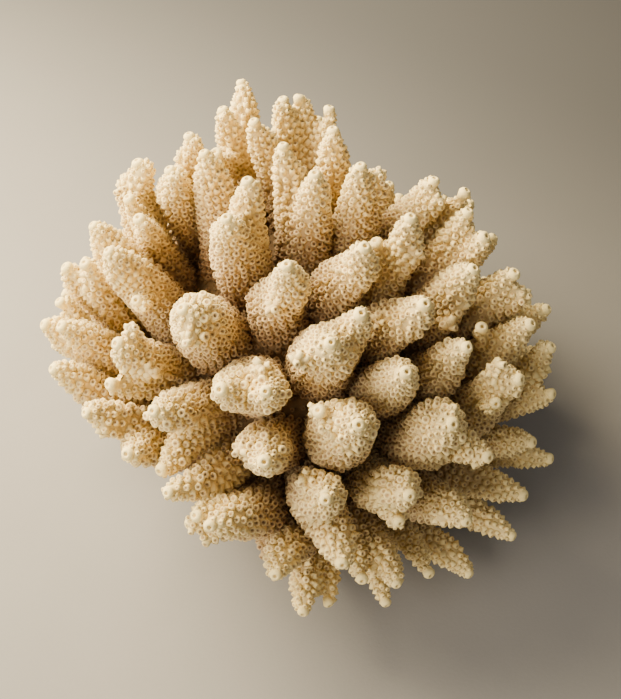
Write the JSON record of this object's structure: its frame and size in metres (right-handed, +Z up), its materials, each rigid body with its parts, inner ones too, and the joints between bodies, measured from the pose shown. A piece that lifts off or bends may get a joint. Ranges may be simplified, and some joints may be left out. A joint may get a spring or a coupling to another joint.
{
  "type": "acropora coral",
  "caption": "Dry bleached colony of finger-like coral branches radiating from a short trunk that is cut off flat, each finger covered in small tubular corallites.",
  "frame": {"origin": "middle of the flat cut under the trunk", "axes": "+Z up along the trunk, -Y towards the side that the picture was taken from, +X to its right"},
  "size_m": [0.1857, 0.1881, 0.1342],
  "materials": {
    "coral_branch": "dry matt calcium carbonate, cream on the lit rims and warm brown in the pores",
    "coral_trunk": "dry matt calcium carbonate, dull beige, darker between the branches"
  },
  "bodies": {
    "root": {"back_ground": "coral_branch", "back_left_low": "coral_branch", "back_left_outer": "coral_branch", "back_left_side": "coral_branch", "back_left_tall": "coral_branch", "back_low": "coral_branch", "back_middle": "coral_branch", "back_right_foot": "coral_branch", "back_right_low": "coral_branch", "back_right_outer": "coral_branch", "back_right_side": "coral_branch", "back_right_upper": "coral_branch", "back_upper": "coral_branch", "crown_back": "coral_branch", "crown_back_right": "coral_branch", "crown_front": "coral_branch", "crown_front_left": "coral_branch", "crown_front_right": "coral_branch", "crown_left": "coral_branch", "crown_middle": "coral_branch", "crown_right": "coral_branch", "front_double": "coral_branch", "front_foot": "coral_branch", "front_foot_left": "coral_branch", "front_foot_right": "coral_branch", "front_left_broad": "coral_branch", "front_left_foot": "coral_branch", "front_left_low": "coral_branch", "front_middle": "coral_branch", "front_right_crown": "coral_branch", "front_right_foot": "coral_branch", "front_right_fork": "coral_branch", "front_right_ground": "coral_branch", "front_right_high": "coral_branch", "front_right_low": "coral_branch", "left_back": "coral_branch", "left_back_low": "coral_branch", "left_crown": "coral_branch", "left_foot": "coral_branch", "left_front": "coral_branch", "left_front_broad": "coral_branch", "left_front_fork": "coral_branch", "left_front_low": "coral_branch", "left_long": "coral_branch", "left_low": "coral_branch", "left_outer": "coral_branch", "left_side": "coral_branch", "left_upper": "coral_branch", "right_back_upper": "coral_branch", "right_broad": "coral_branch", "right_foot": "coral_branch", "right_front": "coral_branch", "right_front_foot": "coral_branch", "right_front_low": "coral_branch", "right_front_upper": "coral_branch", "right_outer": "coral_branch", "right_side": "coral_branch", "right_side_low": "coral_branch", "right_upper": "coral_branch", "trunk": "coral_trunk"}
  },
  "joints": []
}
